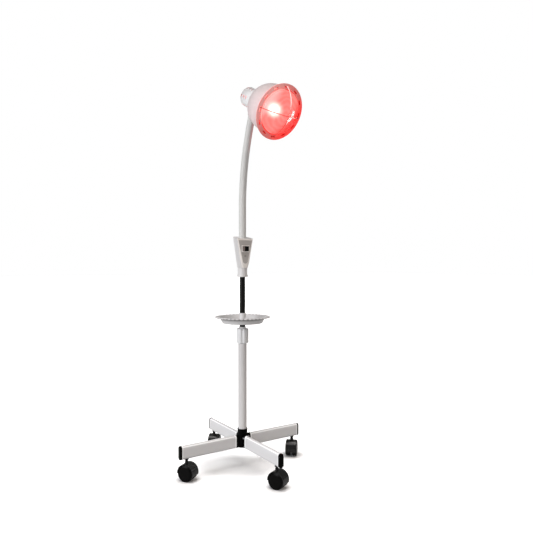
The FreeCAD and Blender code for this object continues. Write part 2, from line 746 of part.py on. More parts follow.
def tray():
    """Round dish with a lobed rim, threaded on the inner tube by its central boss."""
    body = new_body("tray")
    bore = "mast_radius + running_gap"
    top = "tray_foot + tray_rise"
    swing(body, [
        (bore, "tray_foot"),
        ("tray_floor_radius", "tray_foot"),
        ("tray_mouth", top + " - tray_rim_drop"),
        ("tray_rim", top + " - tray_rim_drop"),
        ("tray_rim", top + " - tray_wall / 2"),
        ("tray_mouth - tray_wall", top + " - tray_wall / 2"),
        ("tray_floor_radius - tray_wall", "tray_foot + tray_wall"),
        ("tray_boss + tray_wall", "tray_foot + tray_wall"),
        ("tray_boss", "tray_foot + tray_boss_rise"),
        (bore, "tray_foot + tray_boss_rise"),
    ])
    lobe = new_sketch(body, "YZ_Plane", "lobe_start")
    side = top + " - lobe_radius + sqrt(lobe_radius^2 - lobe_half_width^2)"
    draw(lobe, [
        ("lobe_foot_half", top + " - lobe_depth"),
        ("lobe_half_width", side, "lobe_radius", 1),
        ("-lobe_half_width", side),
        ("-lobe_foot_half", top + " - lobe_depth"),
    ])
    ring_of(body, pad(body, lobe, "lobe_end - lobe_start"), "lobe_count")
    finished(body, "tray")


tray()

# ---------------------------------------------------------------- the switch housing

turned("housing_collar", [
    ("mast_radius + seat_gap", "collar_foot"),
    ("collar_flange", "collar_foot"),
    ("collar_flange", "collar_foot + collar_flange_rise"),
    ("collar_radius", "collar_foot + collar_flange_rise"),
    ("collar_radius", "house_foot"),
    ("mast_radius + seat_gap", "house_foot"),
])


def house_form(inset, foot):
    """The housing's outer form, or the space inside it where an inset is given."""
    body = new_body("house_form")
    collar = "house_foot_radius"
    back_round = "house_back_round"
    plans = [
        (foot, collar, collar, collar, "house_foot_round", "house_foot_round"),
        ("house_knee", "house_knee_width / 2", "house_front", "house_back", "house_knee_round", back_round),
        ("house_top", "house_top_width / 2", "house_front", "house_back", "house_top_round", back_round),
    ]
    sketches = []
    for height, *sizes in plans:
        sketch = new_sketch(body, "XY_Plane", height)
        draw(sketch, rounded(*["%s - %s" % (e, inset) for e in sizes]))
        sketches.append(sketch)
    loft = body.newObject("PartDesign::AdditiveLoft", body.Name + "_loft")
    loft.Profile = sketches[0]
    loft.Sections = sketches[1:]
    loft.Ruled = True
    return body


def slope_block(lift, above):
    """A large block above or below the plane of the housing's sloping top."""
    thing = DOC.addObject("Part::Box", "slope_block")
    bind(thing, "Length", "4 * house_top_width")
    bind(thing, "Width", "4 * house_top_width")
    bind(thing, "Height", "house_top_width")
    slope = FreeCAD.Rotation(FreeCAD.Vector(1, 0, 0), value("house_slope"))
    pivot = FreeCAD.Vector(0, value("house_back"), value("house_top + " + lift))
    corner = FreeCAD.Vector(-2, -2, 0 if above else -1) * value("house_top_width")
    thing.Placement = FreeCAD.Placement(pivot + slope.multVec(corner), slope)
    return thing


def across_house(radius, x, z, start, end):
    """A round bar along Y between two places, for posts and screw holes."""
    return cylinder(radius, "(%s) - (%s)" % (end, start), x, start, z, (0, 1, 0))


SCREWS = [("post_side", "post_height", 1), ("-post_side", "post_height", 1), ("0", "plug_height", -1)]


def screw_seat(side):
    """Where a housing screw's head rests, for a screw from the rear (1) or the front (-1)."""
    if side > 0:
        return "house_back - plug_head_rise - seat_gap"
    return "plug_head_rise - house_front - label_thick"


def shell(label, side, extra, openings):
    """One half of the housing, hollow, with its halves of the three screw posts."""
    hollow = cut(house_form("house_wall", "house_foot + house_wall"), slope_block("-house_roof", True))
    form = cut(house_form("0", "house_foot"), slope_block("0", True))
    posts = [across_house("post_radius", x, z, "-house_front", "house_back") for x, z, _ in SCREWS]
    whole = joined(cut(form, hollow), common(form, joined(*posts)))
    low, high = ("house_parting", "3 * house_back") if side > 0 else ("-3 * house_front", "house_parting")
    half = common(whole, block("house_top_width", low, high, "house_foot - 1", "house_top + 1"))
    if extra:
        half = joined(half, *extra)
    tools = [
        cylinder("mast_radius + seat_gap", "house_wall + 1", z="house_foot - 1"),
        cylinder("stub_spigot + seat_gap", "house_top - stub_spigot_foot", z="stub_spigot_foot"),
    ]
    for x, z, way in SCREWS:
        seat = screw_seat(way)
        tip = "%s - %d * (screw_length + 1)" % (seat, way)
        face = "%d * (house_back + 1)" % way
        ends = (tip, face) if way > 0 else (face, tip)
        tools.append(across_house("screw_shank + seat_gap", x, z, *ends))
        ends = (seat, face) if way > 0 else (face, seat)
        tools.append(across_house("plug_head + 2 * seat_gap", x, z, *ends))
    return finished(cut(half, *(tools + openings)), label)


def switch_box(half_width, half_height, low, high):
    """A block centred on the switch, between two places along Y."""
    foot = "switch_height - (%s)" % half_height
    return block(half_width, low, high, foot, "switch_height + %s" % half_height)


FRAME_FACE = "(-house_front - frame_proud)"
BEZEL_FACE = "(-house_front - frame_proud - bezel_thick)"
CASE_END = "case_depth - house_front - frame_proud"

shell(
    "housing_front", -1,
    [switch_box("frame_half_width", "frame_half_height", FRAME_FACE, "house_wall - house_front")],
    [switch_box(
        "case_half_width + seat_gap", "case_half_height + seat_gap", FRAME_FACE + " - 1", CASE_END,
    )],
)
gland_hole = across_house("gland_thread + seat_gap", "0", "gland_height", "house_parting", "house_back + 1")
shell("housing_rear", 1, [], [gland_hole])


def label_plate():
    """Tapering plate on the front, let out for the switch's frame and the front screw."""
    body = new_body("label_plate")
    plate = new_sketch(body, "XZ_Plane", "house_front")
    draw(plate, [
        ("label_half_width", "label_top"),
        ("-label_half_width", "label_top"),
        ("-label_waist_half", "label_waist", "label_tip_radius", 1),
        ("label_waist_half", "label_waist"),
    ])
    pad(body, plate, "label_thick")
    frame = new_sketch(body, "XZ_Plane", "house_front + label_thick")
    low = "switch_height - frame_half_height - seat_gap"
    high = "switch_height + frame_half_height + seat_gap"
    draw(frame, box_outline("frame_half_width + seat_gap", low, high))
    pocket(body, frame, "label_thick")
    screw = new_sketch(body, "XZ_Plane", "house_front + label_thick")
    draw_circle(screw, "plug_head + 2 * seat_gap", "0", "plug_height")
    pocket(body, screw, "label_thick")
    finished(body, "label_plate")


def switch():
    """Rocker switch: a cased body with a bezel and well, and the rocker on its trunnions."""
    bezel = switch_box("bezel_half_width", "bezel_half_height", BEZEL_FACE, FRAME_FACE)
    case = switch_box("case_half_width", "case_half_height", FRAME_FACE, CASE_END)
    well = switch_box("well_half_width", "well_half_height", BEZEL_FACE, BEZEL_FACE + " + well_depth")
    reach = "well_half_height + trunnion_reach"
    holes = cylinder("trunnion + running_gap", "2 * (%s) + 0.4" % reach, "0", FRAME_FACE,
                     "switch_height - (%s) - 0.2" % reach)
    finished(cut(joined(bezel, case), well, holes), "switch_body")

    body = new_body("switch_rocker")
    key = new_sketch(body, "XY_Plane")
    draw(key, [
        ("0", "-rocker_dish"),
        ("rocker_half_width", "-rocker_rise"),
        ("rocker_half_width", "rocker_dish"),
        ("rocker_half_width / 2", "rocker_keel"),
        ("-rocker_half_width / 2", "rocker_keel"),
        ("-rocker_half_width", "rocker_dish"),
        ("-rocker_half_width", "-rocker_rise"),
    ])
    pad(body, key, "2 * rocker_half_height", both_ways=True)
    pins = new_sketch(body, "XY_Plane")
    draw_circle(pins, "trunnion")
    pad(body, pins, "2 * (%s)" % reach, both_ways=True)
    pivot = FreeCAD.Vector(0, value(FRAME_FACE), value("switch_height"))
    rest = FreeCAD.Rotation(FreeCAD.Vector(0, 0, 1), -value("rocker_tilt"))
    finished(body, "switch_rocker", FreeCAD.Placement(pivot, rest))


def terminal_block():
    """Block on the rear wall with three wire clamps facing the front."""
    inner = "house_back - house_wall"
    front = "%s - block_depth" % inner
    middle = "%s - block_depth / 2" % inner
    body = block("block_half_width", front, inner, "block_foot", "block_foot + block_rise")
    holes = []
    for step in (-1, 0, 1):
        x = "%d * block_half_width * 2 / 3" % step
        holes.append(across_house("block_hole", x, "block_foot + block_rise / 2", front, middle))
    finished(cut(body, *holes), "terminal_block")


def housing_screw(x, z, side):
    """Screw of the housing, its head at the outside and its shank across the joint."""
    body = new_body("housing_screw")
    swing(body, [
        ("0", "-plug_head_rise"),
        ("plug_head * 0.8", "-plug_head_rise"),
        ("plug_head", "-plug_head_rise * 0.7"),
        ("plug_head", "0"),
        ("screw_shank", "0"),
        ("screw_shank", "screw_length"),
        ("0", "screw_length"),
    ])
    inwards = FreeCAD.Rotation(FreeCAD.Vector(0, 0, 1), FreeCAD.Vector(0, -side, 0))
    seat = FreeCAD.Vector(value(x), value(screw_seat(side)), value(z))
    body.Placement = FreeCAD.Placement(seat, inwards)
    return body


label_plate()
switch()
terminal_block()
group("housing_screws", [housing_screw(*screw) for screw in SCREWS])

# Gland in the rear wall: thread inside, flange outside, tapering nose round the bore.
turned("cord_gland", [
    ("gland_bore", "-2 * house_wall"),
    ("gland_thread", "-2 * house_wall"),
    ("gland_thread", "0"),
    ("gland_flange", "0"),
    ("gland_flange", "gland_length / 3"),
    ("gland_nose", "gland_length"),
    ("gland_bore", "gland_length"),
], FreeCAD.Placement(
    FreeCAD.Vector(0, value("house_back"), value("gland_height")),
    FreeCAD.Rotation(FreeCAD.Vector(0, 0, 1), FreeCAD.Vector(0, 1, 0)),
))

# ---------------------------------------------------------------- the gooseneck

FORWARD = FreeCAD.Rotation(FreeCAD.Vector(0, 0, 1), value("plane_turn")).multVec(FreeCAD.Vector(1, 0, 0))
UP = FreeCAD.Vector(0, 0, 1)


def neck_point(along):
    """The point on the gooseneck's centreline at a length from its foot: upright, then a curve."""
    bent = max(along - value("neck_straight"), 0) / value("neck_bend")
    reach = value("neck_bend") * (1 - math.cos(bent))
    height = value("neck_foot") + min(along, value("neck_straight")) + value("neck_bend") * math.sin(bent)
    return FORWARD * reach + UP * height


def neck_frame(start, end):
    """Placement at a point of the neck, with Z towards another point and X across the plane."""
    along = end - start
    across = FORWARD.cross(UP)
    return FreeCAD.Placement(start, FreeCAD.Rotation(across, FreeCAD.Vector(), along, "ZXY"))


BALL_FOOT = "-sqrt(neck_radius^2 - neck_bore^2)"
CUP = "neck_radius + neck_gap"


def cup_outline(height):
    """The inner end of a link's outline: the rim and the cup for a ball centred at a height."""
    return [
        ("neck_radius", height + " - cup_cut"),
        ("sqrt((%s)^2 - cup_cut^2)" % CUP, height + " - cup_cut", CUP, -1),
        ("neck_bore", "%s - sqrt((%s)^2 - neck_bore^2)" % (height, CUP)),
    ]


def neck_stub():
    """The gooseneck's fixed foot: a sleeve on the sloping top and a spigot through it."""
    hinge = "neck_foot + neck_first"
    body = new_body("neck_sleeve")
    foot = [("neck_bore", "stub_spigot_foot"), ("neck_radius", "stub_spigot_foot")]
    swing(body, foot + cup_outline(hinge))
    spigot = new_body("neck_spigot")
    swing(spigot, sleeve("neck_bore", "stub_spigot", "stub_spigot_foot", "neck_foot + neck_first / 2"))
    finished(joined(cut(body, slope_block("0", False)), spigot), "neck_stub")


def neck_link(number):
    """One stiff length of the gooseneck, with a ball below and a cup above."""
    start = neck_point(value("neck_first") + (number - 1) * value("neck_pitch"))
    end = neck_point(min(value("neck_first") + number * value("neck_pitch"), value("neck_length")))
    length = "%.4f" % (end - start).Length
    ball = [("neck_bore", BALL_FOOT, "neck_radius", 1), ("neck_radius", "0")]
    if number < 6:
        top = cup_outline(length)
    else:
        top = [("neck_radius", length), ("neck_bore", length)]
    turned("neck_link_%d" % number, ball + top, neck_frame(start, end))


neck_stub()
for number in range(1, 7):
    neck_link(number)

# ---------------------------------------------------------------- the lamp head

DIP = math.radians(value("head_dip"))
AXIS = FORWARD * math.cos(DIP) - UP * math.sin(DIP)
HEAD = FreeCAD.Placement(
    FORWARD * value("head_reach") + UP * value("head_height"),
    FreeCAD.Rotation(UP.cross(FORWARD), FreeCAD.Vector(), AXIS, "ZXY"),
)

FLARE = "(((bell_mouth - bell_body)^2 + bell_skirt^2) / (2 * (bell_mouth - bell_body)))"
DOME_END = "-bell_skirt - sqrt(bell_body^2 - bell_seat^2)"
INNER_END = DOME_END + " + bell_wall"
INNER_SEAT = "sqrt((bell_body - bell_wall)^2 - (%s + bell_skirt)^2)" % INNER_END
turned("shade_bell", [
    ("bell_mouth", "0", FLARE, 1),
    ("bell_body", "-bell_skirt", "bell_body", -1),
    ("bell_seat", DOME_END),
    ("bell_hole", DOME_END),
    ("bell_hole", INNER_END),
    (INNER_SEAT, INNER_END, "bell_body - bell_wall", 1),
    ("bell_body - bell_wall", "-bell_skirt", FLARE + " + bell_wall", -1),
    ("bell_body + %s - sqrt((%s + bell_wall)^2 - bell_skirt^2)" % (FLARE, FLARE), "0"),
], HEAD)


def shade_ring():
    """Front ring with a lip round its opening and slots that let the warm air out."""
    body = new_body("shade_ring")
    swing(body, [
        ("ring_mouth", "ring_thick - ring_lip"),
        ("ring_mouth + bell_wall", "ring_thick - ring_lip"),
        ("ring_mouth + bell_wall", "0"),
        ("bell_mouth", "0"),
        ("bell_mouth", "ring_thick"),
        ("ring_mouth", "ring_thick"),
    ])
    vent = new_sketch(body, "XY_Plane", "ring_thick")
    draw(vent, oval("vent_width / 2", "-vent_length / 2", "vent_length / 2", "vent_reach"))
    ring_of(body, pocket(body, vent, "ring_thick"), "vent_count")
    finished(body, "shade_ring", HEAD.multiply(turn_z(value("vent_turn"))))


def wire_guard():
    """Two bowed wires, welded where they cross and held by feet behind the front ring."""
    arch = "wire_bow + wire_centre"
    foot_height = "wire_centre - wire_foot_rise"
    spread = math.degrees(math.acos(value(foot_height) / value(arch)))
    parts = []
    for turn in (0, 90):
        wire = DOC.addObject("Part::Torus", "wire")
        bind(wire, "Radius1", arch)
        bind(wire, "Radius2", "wire_radius")
        wire.Angle3 = 2 * spread
        start = FreeCAD.Vector(math.sin(math.radians(spread)), 0, math.cos(math.radians(spread)))
        plane = FreeCAD.Rotation(start, FreeCAD.Vector(), FreeCAD.Vector(0, -1, 0), "ZXY")
        centre = FreeCAD.Vector(0, 0, -value("wire_centre"))
        wire.Placement = turn_z(turn).multiply(FreeCAD.Placement(centre, plane))
        parts.append(wire)
    for turn in (0, 90, 180, 270):
        foot = cylinder("wire_foot", "wire_foot_rise")
        reach = value("sqrt((%s)^2 - (%s)^2)" % (arch, foot_height))
        place = FreeCAD.Placement(FreeCAD.Vector(reach, 0, -value("wire_foot_rise")), FreeCAD.Rotation())
        foot.Placement = turn_z(turn).multiply(place)
        parts.append(foot)
    finished(joined(*parts), "wire_guard", HEAD)


def neck_line():
    """The gooseneck's end and its direction there, as a placement with Z along it."""
    last = value("neck_length")
    return neck_frame(neck_point(last), neck_point(last) * 2 - neck_point(last - 1))


def lamp_cap():
    """Closed rear cap with a ridge on the shade's seat, rows of louvres and the wires' hole."""
    body = new_body("lamp_cap")
    inner = "cap_radius - cap_wall"
    swing(body, [
        ("cap_ridge", DOME_END),
        (inner, DOME_END),
        (inner, "cap_round - cap_end", "cap_round - cap_wall", -1),
        ("cap_radius - cap_round", "cap_wall - cap_end"),
        ("0", "cap_wall - cap_end"),
        ("0", "-cap_end"),
        ("cap_radius - cap_round", "-cap_end", "cap_round", 1),
        ("cap_radius", "cap_round - cap_end"),
        ("cap_radius", DOME_END + " - cap_ridge_width"),
        ("cap_ridge", DOME_END + " - cap_ridge_width"),
    ])
    row = new_sketch(body, "YZ_Plane", "cap_radius / 2")
    for step in range(3):
        middle = "-louvre_first - %d * louvre_pitch" % step
        low = middle + " - louvre_width / 2"
        draw(row, box_outline("louvre_length / 2", low, middle + " + louvre_width / 2"))
    ring_of(body, pocket(body, row, "cap_radius", reverse=True), "louvre_rows")
    body.Placement = HEAD
    hole = cylinder("neck_bore", "2 * cap_radius")
    hole.Placement = neck_line()
    finished(cut(body, hole), "lamp_cap")


def shifted(placement, along):
    """A placement moved along its own Z."""
    return placement.multiply(FreeCAD.Placement(FreeCAD.Vector(0, 0, along), FreeCAD.Rotation()))


def neck_socket():
    """Boss between the gooseneck's end and the side of the cap, seated on the last link."""
    boss = new_body("boss")
    swing(boss, sleeve("neck_bore", "socket_radius", "-neck_gap", "2 * cap_radius"))
    boss.Placement = neck_line()
    cap_space = cylinder("cap_radius", "cap_end")
    cap_space.Placement = shifted(HEAD, -value("cap_end"))
    beyond = cylinder("cap_radius", "2 * cap_radius")
    beyond.Placement = shifted(neck_line(), value("cap_radius"))
    start = neck_point(value("neck_first + 5 * neck_pitch"))
    end = neck_point(value("neck_length"))
    last_link = cylinder("neck_radius", "%.4f" % (end - start).Length)
    last_link.Placement = neck_frame(start, end)
    finished(cut(boss, cap_space, beyond, last_link), "neck_socket")


shade_ring()
wire_guard()
lamp_cap()
neck_socket()

turned("lamp_holder", [
    ("0", "cap_wall - cap_end"),
    ("holder_radius", "cap_wall - cap_end"),
    ("holder_radius", "-holder_front"),
    ("holder_mouth", "-holder_front"),
    ("holder_mouth", "-bulb_glass_end - neck_gap"),
    ("screw_shell + seat_gap", "-bulb_glass_end - neck_gap"),
    ("screw_shell + seat_gap", "-shell_tip"),
    ("0", "-shell_tip"),
], HEAD)

turned("bulb_base", [
    ("0", "-shell_tip"),
    ("shell_tip_radius", "-shell_tip"),
    ("shell_tip_radius * 1.6", "-shell_end"),
    ("screw_shell", "-shell_end"),
    ("screw_shell", "-bulb_glass_end"),
    ("0", "-bulb_glass_end"),
], HEAD)


def bulb_glass():
    """Reflector bulb: domed face, rounded edge, bulging flank and narrow throat, hollow inside."""
    middle = "(bulb_apex - bulb_face_radius)"
    outer = [
        ("0", "bulb_apex", "bulb_face_radius", -1),
        ("bulb_edge", "bulb_edge_place", "bulb_edge_round", -1),
        ("bulb_radius", "bulb_widest", "bulb_flank", -1),
        ("bulb_throat", "-bulb_throat_place"),
        ("screw_shell", "-bulb_glass_end"),
    ]
    face = "(1 - bulb_wall / bulb_face_radius)"
    bend = "(1 - bulb_edge_round / bulb_face_radius)"
    edge = "(bulb_wall / bulb_edge_round)"
    inner = [
        ("screw_shell - bulb_wall", "-bulb_glass_end"),
        ("bulb_throat - 0.6 * bulb_wall", "0.8 * bulb_wall - bulb_throat_place",
         "bulb_flank - bulb_wall", 1),
        ("bulb_radius + %s * (bulb_edge * %s - bulb_radius)" % (edge, bend),
         "bulb_widest + %s * (%s + (bulb_edge_place - %s) * %s - bulb_widest)"
         % (edge, middle, middle, bend),
         "bulb_edge_round - bulb_wall", 1),
        ("bulb_edge * " + face, "%s + (bulb_edge_place - %s) * %s" % (middle, middle, face),
         "bulb_face_radius - bulb_wall", 1),
        ("0", "bulb_apex - bulb_wall"),
    ]
    turned("bulb_glass", outer + inner, HEAD)


bulb_glass()

# ---------------------------------------------------------------- the casters

SWIVELS = {"left": -57, "front": -65, "right": -133.5, "rear": 46.6}


def across_caster(radius, half_length, turn=0, sweep=360):
    """A round bar or a sector of one along Y, centred on the axle, from an angle above +X."""
    thing = cylinder(radius, "2 * (%s)" % half_length, "trail", "0", "wheel_radius")
    flat = FreeCAD.Rotation(FreeCAD.Vector(1, 0, 0), 90)
    start = FreeCAD.Rotation(FreeCAD.Vector(0, 1, 0), -turn)
    thing.Placement.Rotation = start * flat
    bind(thing, "Placement.Base.y", half_length)
    thing.Angle = sweep
    return thing


def hood():
    """Hood over both wheels, with the web between them that holds the axle and the stem."""
    sweep = 180 + value("hood_lead + hood_tail")
    tail = -value("hood_tail")
    outside = across_caster("hood_radius", "hood_half", tail, sweep)
    roof = cut(outside, across_caster("hood_inner", "hood_half + 1"))
    web = across_caster("hood_inner + 0.5", "web_half", tail, sweep)
    boss = across_caster("web_boss", "web_half")
    stem_boss = cylinder("stem_boss", "stem_boss_top - stem_spigot_foot", z="stem_spigot_foot")
    wheel_space = cut(across_caster("hood_inner", "hood_half"), across_caster("hood_radius", "web_half"))
    whole = joined(roof, web, boss, cut(stem_boss, wheel_space))
    axle_hole = across_caster("axle_radius", "hood_half")
    stem_hole = cylinder("stem_spigot", "stem_boss_top", z="stem_spigot_foot")
    return cut(whole, axle_hole, stem_hole)


def stem():
    """Steel stem: a thin end in the web, a collar on the hood and a pin for the leg's socket."""
    body = new_body("stem")
    swing(body, [
        ("0", "stem_spigot_foot"),
        ("stem_spigot", "stem_spigot_foot"),
        ("stem_spigot", "stem_boss_top"),
        ("stem_collar", "stem_boss_top"),
        ("stem_collar", "stem_collar_top"),
        ("stem_radius", "stem_collar_top"),
        ("stem_radius", "stem_top - 1"),
        ("stem_radius - 1", "stem_top"),
        ("0", "stem_top"),
    ])
    return body


def wheel(side, place):
    """Hollow wheel: smooth outer disc with a rounded edge, rim, and a hub on the axle."""
    body = new_body("wheel")
    swing(body, [
        ("axle_radius + running_gap", "wheel_inner"),
        ("wheel_hub", "wheel_inner"),
        ("wheel_hub", "wheel_outer - wheel_disc"),
        ("wheel_radius - wheel_rim", "wheel_outer - wheel_disc"),
        ("wheel_radius - wheel_rim", "wheel_inner"),
        ("wheel_radius", "wheel_inner"),
        ("wheel_radius", "wheel_outer - wheel_round", "wheel_round", 1),
        ("wheel_radius - wheel_round", "wheel_outer"),
        ("0", "wheel_outer"),
        ("0", "axle_half + neck_gap"),
        ("axle_radius + running_gap", "axle_half + neck_gap"),
    ])
    centre = FreeCAD.Vector(value("trail"), 0, value("wheel_radius"))
    outwards = FreeCAD.Rotation(FreeCAD.Vector(0, 0, 1), FreeCAD.Vector(0, side, 0))
    body.Placement = place.multiply(FreeCAD.Placement(centre, outwards))
    return body


def axle():
    """Plain steel pin through the web that carries both wheels."""
    body = new_body("axle")
    middle = new_sketch(body, "XZ_Plane")
    draw_circle(middle, "axle_radius", "trail", "wheel_radius")
    pad(body, middle, "2 * axle_half", both_ways=True)
    return body


def caster(name):
    """One twin-wheel caster under the end of a leg, turned to its resting direction."""
    reach = turn_z(LEGS[name]).multVec(FreeCAD.Vector(value("caster_reach"), 0, 0))
    place = FreeCAD.Placement(reach, FreeCAD.Rotation(UP, SWIVELS[name]))
    label = "caster_%s_" % name
    finished(hood(), label + "hood", place)
    finished(stem(), label + "stem", place)
    finished(axle(), label + "axle", place)
    finished(wheel(-1, place), label + "wheel_left")
    finished(wheel(1, place), label + "wheel_right")


for name in LEGS:
    caster(name)

# ---------------------------------------------------------------- check and export

DOC.recompute()
for thing in DOC.Objects:
    if "Invalid" in thing.State or "Error" in thing.State:
        raise RuntimeError("%s (%s) did not build: %s" % (thing.Name, thing.Label, thing.State))
for thing in SUBPARTS:
    if thing.Shape.isNull() or not thing.Shape.isValid() or not thing.Shape.Solids:
        raise RuntimeError("%s has no valid solid" % thing.Label)

os.makedirs("parts", exist_ok=True)
for thing in SUBPARTS:
    thing.Shape.exportStep("parts/%s.step" % thing.Label)
print("%d sub-parts exported" % len(SUBPARTS))
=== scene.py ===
import bpy
import json
import math
import numpy as np
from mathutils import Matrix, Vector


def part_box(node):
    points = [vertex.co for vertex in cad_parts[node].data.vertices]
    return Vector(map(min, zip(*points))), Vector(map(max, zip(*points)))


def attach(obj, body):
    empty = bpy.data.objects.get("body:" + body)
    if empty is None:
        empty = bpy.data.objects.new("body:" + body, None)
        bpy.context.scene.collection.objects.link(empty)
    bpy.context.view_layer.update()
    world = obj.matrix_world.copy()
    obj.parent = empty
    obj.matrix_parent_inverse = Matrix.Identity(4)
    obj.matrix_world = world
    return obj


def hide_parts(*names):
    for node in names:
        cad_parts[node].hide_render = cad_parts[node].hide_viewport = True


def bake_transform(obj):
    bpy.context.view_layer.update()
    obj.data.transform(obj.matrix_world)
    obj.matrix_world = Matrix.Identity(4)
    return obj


# Infrared heat therapy lamp on a rolling stand, in metres, in the frame of the CAD model.
# Z runs up the pole from the floor, the legs lie along X and Y, and the switch faces -Y.
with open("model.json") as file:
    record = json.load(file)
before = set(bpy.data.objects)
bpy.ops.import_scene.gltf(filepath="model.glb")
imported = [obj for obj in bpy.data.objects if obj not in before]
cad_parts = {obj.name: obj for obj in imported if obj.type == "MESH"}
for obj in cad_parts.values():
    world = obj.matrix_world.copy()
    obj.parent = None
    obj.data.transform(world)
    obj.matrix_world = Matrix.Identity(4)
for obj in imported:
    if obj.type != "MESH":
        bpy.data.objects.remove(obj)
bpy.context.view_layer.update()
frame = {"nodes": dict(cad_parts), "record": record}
nodes = frame["nodes"]


# ---------------------------------------------------------------- tubes of the stand
# Legs and outer tube have a silver-grey satin coating, the inner tube a black one. Painted highlights
# make the legs paler at their ends and along thin lines at their upper and lower edges.

def linear(code):
    """A linear colour from an sRGB code such as c0c0c0: each channel is raised by the sRGB curve."""
    channels = [int(code[i:i + 2], 16) / 255 for i in (0, 2, 4)]
    return [c / 12.92 if c <= 0.04045 else ((c + 0.055) / 1.055) ** 2.4 for c in channels] + [1.0]


def add(tree, kind, links=(), **settings):
    """A node with its settings. Each of its links gives an input a socket to follow, or else a value."""
    node = tree.nodes.new(kind)
    for name, entry in settings.items():
        setattr(node, name, entry)
    for name, source in dict(links).items():
        if isinstance(source, bpy.types.NodeSocket):
            tree.links.new(source, node.inputs[name])
        else:
            node.inputs[name].default_value = source
    return node


def numbers(tree, operation, *terms):
    """The result of an operation on numbers."""
    return add(tree, "ShaderNodeMath", enumerate(terms), operation=operation).outputs[0]


def vectors(tree, operation, *terms):
    """The result of an operation on vectors, which is a number for a length, distance or dot product."""
    node = add(tree, "ShaderNodeVectorMath", enumerate(terms), operation=operation)
    return node.outputs["Value" if operation in ("LENGTH", "DISTANCE", "DOT_PRODUCT") else "Vector"]


def place_in(tree, axis=None):
    """The place of a shaded point in its object, or one of its coordinates, in metres."""
    point = add(tree, "ShaderNodeTexCoord").outputs["Object"]
    return add(tree, "ShaderNodeSeparateXYZ", {"Vector": point}).outputs[axis] if axis else point


def finish(name, code, rough=0.5, metal=0.0, grain=0.0, grain_mm=1.0, **more):
    """A named finish: one colour and roughness, with a fine grain in its normals where asked."""
    material = bpy.data.materials.new(name)
    material.use_nodes = True
    tree = material.node_tree
    shader = tree.nodes["Principled BSDF"]
    shader.inputs["Base Color"].default_value = linear(code)
    shader.inputs["Roughness"].default_value = rough
    shader.inputs["Metallic"].default_value = metal
    for key, entry in more.items():
        shader.inputs[key.replace("_", " ")].default_value = entry
    if grain:
        noise = add(tree, "ShaderNodeTexNoise", {"Vector": place_in(tree), "Scale": 1000 / grain_mm, "Detail": 3.0})
        bump = {"Height": noise.outputs["Fac"], "Strength": grain, "Distance": 0.0002}
        tree.links.new(add(tree, "ShaderNodeBump", bump).outputs["Normal"], shader.inputs["Normal"])
    return material


def dress(material, *names):
    """Gives a finish to CAD nodes, in every material slot they have."""
    for name in names:
        node = nodes[name]
        if not node.material_slots:
            node.data.materials.append(material)
        for slot in node.material_slots:
            slot.material = material


def tint(material, share, *colours):
    """Mixes colours into a material by a share, over what it had. Each is an input's name and an sRGB code."""
    tree = material.node_tree
    for name, code in colours:
        target = tree.nodes["Principled BSDF"].inputs[name]
        before = target.links[0].from_socket if target.is_linked else target.default_value
        mix = add(tree, "ShaderNodeMix", {"Factor": share, 6: before, 7: linear(code)}, data_type="RGBA")
        tree.links.new(mix.outputs[2], target)


silver = finish("silver-grey satin coating", "d9d8d8", 0.38, grain=0.15, grain_mm=0.6)
low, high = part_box("leg_right")
leg_middle, leg_half, highlight_end = (low[0] + high[0]) / 2, (high[0] - low[0]) / 2, 0.005
tree = silver.node_tree
from_pole = vectors(tree, "LENGTH", vectors(tree, "MULTIPLY", place_in(tree), (1, 1, 0)))
off_middle = numbers(tree, "ABSOLUTE", numbers(tree, "SUBTRACT", from_pole, leg_middle))
# Painted highlights: the legs' ends and two thin lines along their upper and lower edges are made paler.
tint(silver, numbers(tree, "GREATER_THAN", off_middle, leg_half - highlight_end), ("Base Color", "fafafa"))
for line_height, half_width in ((high[2] - 0.0026, 0.0009), (low[2] + 0.0022, 0.0008)):
    on_highlight_line = numbers(tree, "COMPARE", place_in(tree, "Z"), line_height, half_width)
    tint(silver, on_highlight_line, ("Base Color", "ffffff"))

tube_silver = finish("silver-grey tube coating", "cecccb", 0.38, grain=0.15, grain_mm=0.6)
black_coat = finish("black satin coating", "040404", 0.28, Specular_IOR_Level=0.2)
black = finish("black moulded plastic", "020202", 0.4, grain=0.2, grain_mm=0.5, Specular_IOR_Level=0.06)
zinc = finish("dull zinc plate", "8c8c8e", 0.35, 1.0)
SIDES = ("right", "rear", "left", "front")
dress(silver, *["leg_" + side for side in SIDES])
dress(tube_silver, "outer_tube")
dress(black_coat, "inner_tube")
dress(black, "base_hub", "caster_sockets", "tray_stop_ring", "cord_gland")
dress(zinc, "hub_screws", "column_bolt")


# ---------------------------------------------------------------- clamp knob
# Six rounded lobes with flutes between them, smooth where the solid has sharp edges.
# The collet's ring and the bush keep their solids' shapes.

def surface(name, points, material, closed=(True, False)):
    """A smooth object from a grid of points in metres, joined round where closed says so."""
    rows, columns = points.shape[:2]
    index = np.arange(rows * columns).reshape(rows, columns)
    if closed[0]:
        index = np.vstack([index, index[:1]])
    if closed[1]:
        index = np.hstack([index, index[:, :1]])
    quads = np.stack([index[:-1, :-1], index[1:, :-1], index[1:, 1:], index[:-1, 1:]], -1).reshape(-1, 4)
    mesh = bpy.data.meshes.new(name)
    mesh.from_pydata(points.reshape(-1, 3).tolist(), [], quads.tolist())
    mesh.polygons.foreach_set("use_smooth", np.ones(len(quads), bool))
    mesh.set_sharp_from_angle(angle=math.radians(38))
    mesh.materials.append(material)
    piece = bpy.data.objects.new(name, mesh)
    bpy.context.scene.collection.objects.link(piece)
    return piece


def arc(centre, radius, start, end, steps):
    """Points (across, along) on a circle's arc between two angles in degrees."""
    turn = np.radians(np.linspace(start, end, steps))
    return [(centre[0] + radius * math.cos(t), centre[1] + radius * math.sin(t)) for t in turn]


